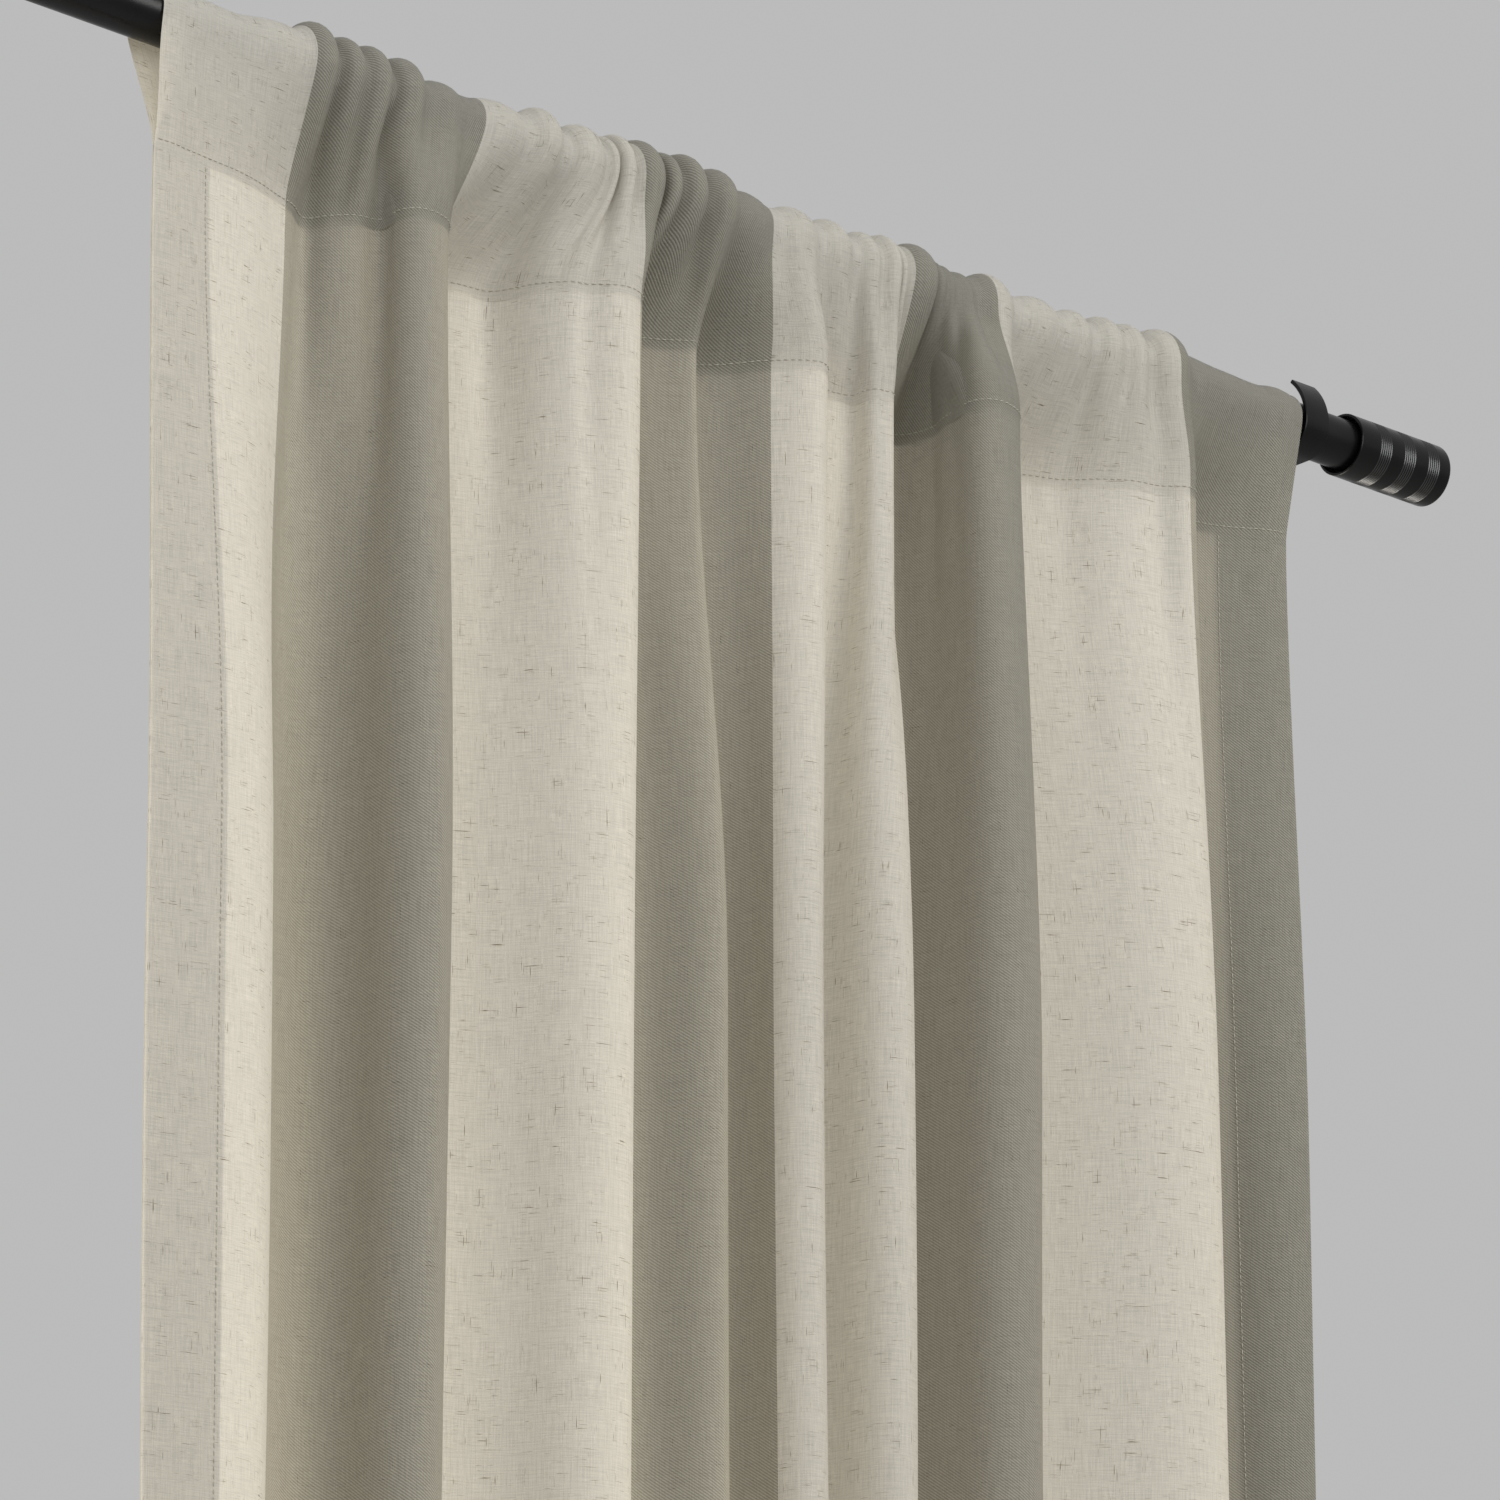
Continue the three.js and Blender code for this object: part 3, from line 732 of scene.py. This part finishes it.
def stripe_share(tree, across):
    """Zero on the cream stripes and one on the sage ones."""
    ramp = tree.nodes.new("ShaderNodeValToRGB")
    ramp.color_ramp.interpolation = "CONSTANT"
    points = ramp.color_ramp.elements
    for i, edge in enumerate(stripe_edges[:-1]):
        point = points[i] if i < 2 else points.new(edge / FLAT_WIDTH)
        point.position = edge / FLAT_WIDTH
        point.color = (i % 2, i % 2, i % 2, 1.0)
    connect(tree, math_node(tree, "DIVIDE", across, FLAT_WIDTH), ramp.inputs[0])
    return ramp.outputs["Color"]


striped_cloth, tree, shader = new_material("striped_linen_look")
uv = tree.nodes.new("ShaderNodeUVMap")
uv.uv_map = "flat_cloth"
split = tree.nodes.new("ShaderNodeSeparateXYZ")
tree.links.new(uv.outputs["UV"], split.inputs[0])
is_sage = stripe_share(tree, split.outputs["X"])
weave = tree.nodes.new("ShaderNodeGroup")
weave.node_tree = slub_weave
tree.links.new(uv.outputs["UV"], weave.inputs["Flat Cloth"])
weave.inputs["Slub Amount"].default_value = 0.9
# The sage stripes are a fine twill, whose lines fall to the right.
TWILL_ACROSS = 0.0020
TWILL_UP = 0.0015
turns_across = math_node(tree, "MULTIPLY", split.outputs["X"], 2 * math.pi / TWILL_ACROSS)
turns_up = math_node(tree, "MULTIPLY", split.outputs["Y"], 2 * math.pi / TWILL_UP)
climb = math_node(tree, "ADD", turns_across, turns_up)
twill = math_node(tree, "MULTIPLY", math_node(tree, "SINE", climb), is_sage)
cream = mix_colour(tree, weave.outputs["Slubs"], (*CREAM, 1), (*CREAM_SLUB, 1))
sage = mix_colour(tree, weave.outputs["Slubs"], (*SAGE, 1), (*SAGE_SLUB, 1))
sage = mix_colour(tree, remap(tree, twill, -1, 1, 0.0, 1.0), sage, (*SAGE_LIGHT_YARN, 1))
base = mix_colour(tree, is_sage, cream, sage)
shade = remap(tree, weave.outputs["Tone"], 0, 1, 0.80, 1.16)
tree.links.new(mix_colour(tree, 1.0, base, shade, "MULTIPLY"), shader.inputs["Base Color"])
shader.inputs["Roughness"].default_value = 0.92
shader.inputs["Sheen Weight"].default_value = 0.12
shader.inputs["Sheen Roughness"].default_value = 0.5
shader.inputs["Specular IOR Level"].default_value = 0.15
relief = math_node(tree, "ADD", weave.outputs["Height"], math_node(tree, "MULTIPLY", twill, 0.35))
bump(tree, shader, relief, 0.55, 0.0003)
glow = tree.nodes.new("ShaderNodeBsdfTranslucent")
glow_colour = mix_colour(tree, is_sage, (*CREAM_GLOW, 1), (*SAGE_GLOW, 1))
glow_dark = mix_colour(tree, weave.outputs["Slubs"], glow_colour, (*SLUB_GLOW, 1))
tree.links.new(mix_colour(tree, 1.0, glow_dark, shade, "MULTIPLY"), glow.inputs["Color"])
both = tree.nodes.new("ShaderNodeMixShader")
both.inputs[0].default_value = SHARE_THROUGH
tree.links.new(shader.outputs["BSDF"], both.inputs[1])
tree.links.new(glow.outputs["BSDF"], both.inputs[2])
tree.links.new(both.outputs[0], tree.nodes["Material Output"].inputs["Surface"])

stripes = [("cream" if i % 2 == 0 else "sage") + f"_{i + 1}" for i in range(8)]
ANCHOR_BODY = "panel_anchor"


def hang_on_panel(piece, *nodes):
    """Every cloth piece slides with the panel, and keeps a mesh of its own."""
    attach(piece, ANCHOR_BODY)
    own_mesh(piece)
    if nodes:
        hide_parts(*nodes)


curtain = cloth_piece("curtain_cloth", cloth, flat * MM, flat_height, striped_cloth)
hang_on_panel(curtain, *[f"drop_{name}" for name in stripes], *[f"pocket_{name}" for name in stripes])

# ---- Hems -----------------------------------------------------------------------------------
# The side hems and the bottom hem are the same cloth, turned to the back and pressed flat, so
# they lie close behind the drop and follow its folds.
HEM_GAP = 0.0011
SIDE_HEM = 0.038
BOTTOM_HEM = 0.076


def normals_of(points):
    across = np.gradient(points, axis=1)
    up = np.gradient(points, axis=0)
    crossed = np.cross(across, up)
    return crossed / np.linalg.norm(crossed, axis=2, keepdims=True)


outward = normals_of(cloth)
hem_rows = int(np.searchsorted(cloth[:seam_row, 0, 2], panel_bottom + BOTTOM_HEM)) + 1
hem_top = seam_row + 1
side_columns = int(round(SIDE_HEM / MM / COLUMN)) + 1


def turned_under(rows, columns, name):
    """A layer close behind the cloth over a block of its rows and columns."""
    behind = cloth[rows, columns] - outward[rows, columns] * HEM_GAP
    return cloth_piece(name, behind, flat[columns] * MM, flat_height[rows], striped_cloth)


all_columns = slice(0, column_count)
bottom_hem = turned_under(slice(0, hem_rows), all_columns, "bottom_hem_turned")
left_hem = turned_under(slice(hem_rows, hem_top), slice(0, side_columns), "left_hem_turned")
right_hem = turned_under(
    slice(hem_rows, hem_top), slice(column_count - side_columns, column_count), "right_hem_turned"
)
for hem, cad_node, slot in (
    (bottom_hem, "bottom_hem", "cream_stripe"),
    (left_hem, "left_side_hem", "cream_stripe"),
    (right_hem, "right_side_hem", "sage_stripe"),
):
    hang_on_panel(hem, cad_node)

# ---- Stitching ------------------------------------------------------------------------------
# Cream lockstitch thread, with a stitch every 3.4 mm. It holds the pocket's seam, the
# side hems and the bottom hem, and each stitch dips into the cloth at both ends.
STITCH_LENGTH = 0.0026
STITCH_STEP = 0.0034
THREAD_RADIUS = 0.00028
THREAD_SIDES = 5
STITCH_PROFILE = ((0.0, 0.25), (0.18, 0.9), (0.5, 1.0), (0.82, 0.9), (1.0, 0.25))

thread, thread_tree, thread_shader = new_material("sewing_thread")
thread_place = thread_tree.nodes.new("ShaderNodeTexCoord").outputs["Object"]
twist = noise(thread_tree, stretched(thread_tree, thread_place, (2500.0, 2500.0, 2500.0)), 1.0)
thread_tree.links.new(
    mix_colour(thread_tree, twist, (0.36, 0.345, 0.28, 1), (0.56, 0.54, 0.46, 1)),
    thread_shader.inputs["Base Color"],
)
thread_shader.inputs["Roughness"].default_value = 0.7
bump(thread_tree, thread_shader, twist, 0.3, 0.0001)


def stitch_row(name, line, away, cad_node):
    """Stitches along a line of points on the cloth. away points out of the cloth at each one."""
    steps = np.linalg.norm(np.diff(line, axis=0), axis=1)
    run = np.concatenate([[0.0], np.cumsum(steps)])
    points, faces = [], []
    for start in np.arange(STITCH_STEP / 2, run[-1] - STITCH_LENGTH, STITCH_STEP):
        first = len(points)
        for share, fat in STITCH_PROFILE:
            at = start + share * STITCH_LENGTH
            middle = np.array([np.interp(at, run, line[:, k]) for k in range(3)])
            out = np.array([np.interp(at, run, away[:, k]) for k in range(3)])
            ahead = np.array([np.interp(at + 0.001, run, line[:, k]) for k in range(3)]) - middle
            along = ahead / max(np.linalg.norm(ahead), 1e-9)
            side = np.cross(along, out)
            lift = THREAD_RADIUS * (1.5 * math.sin(math.pi * share) - 0.2)
            for j in range(THREAD_SIDES):
                angle = 2 * math.pi * j / THREAD_SIDES
                ring = math.cos(angle) * side + math.sin(angle) * out
                points.append(middle + out * lift + ring * THREAD_RADIUS * fat)
        for i in range(len(STITCH_PROFILE) - 1):
            for j in range(THREAD_SIDES):
                k = (j + 1) % THREAD_SIDES
                a, b = first + i * THREAD_SIDES, first + (i + 1) * THREAD_SIDES
                faces.append((a + j, b + j, b + k, a + k))
        faces.append(tuple(first + j for j in range(THREAD_SIDES)))
        last = first + (len(STITCH_PROFILE) - 1) * THREAD_SIDES
        faces.append(tuple(last + j for j in range(THREAD_SIDES))[::-1])
    made = mesh_object(name, points, faces, thread)
    hang_on_panel(made, cad_node)
    return made


seam_line = seam_row + 1
stitches = [
    stitch_row("pocket_seam_stitches", cloth[seam_line], outward[seam_line], "pocket_seam_stitching"),
    stitch_row("bottom_hem_stitches", cloth[hem_rows - 1], outward[hem_rows - 1], "bottom_hem_stitching"),
    stitch_row(
        "left_hem_stitches", cloth[hem_rows:hem_top, side_columns - 2],
        outward[hem_rows:hem_top, side_columns - 2], "left_hem_stitching",
    ),
    stitch_row(
        "right_hem_stitches", cloth[hem_rows:hem_top, column_count - side_columns + 1],
        outward[hem_rows:hem_top, column_count - side_columns + 1], "right_hem_stitching",
    ),
]
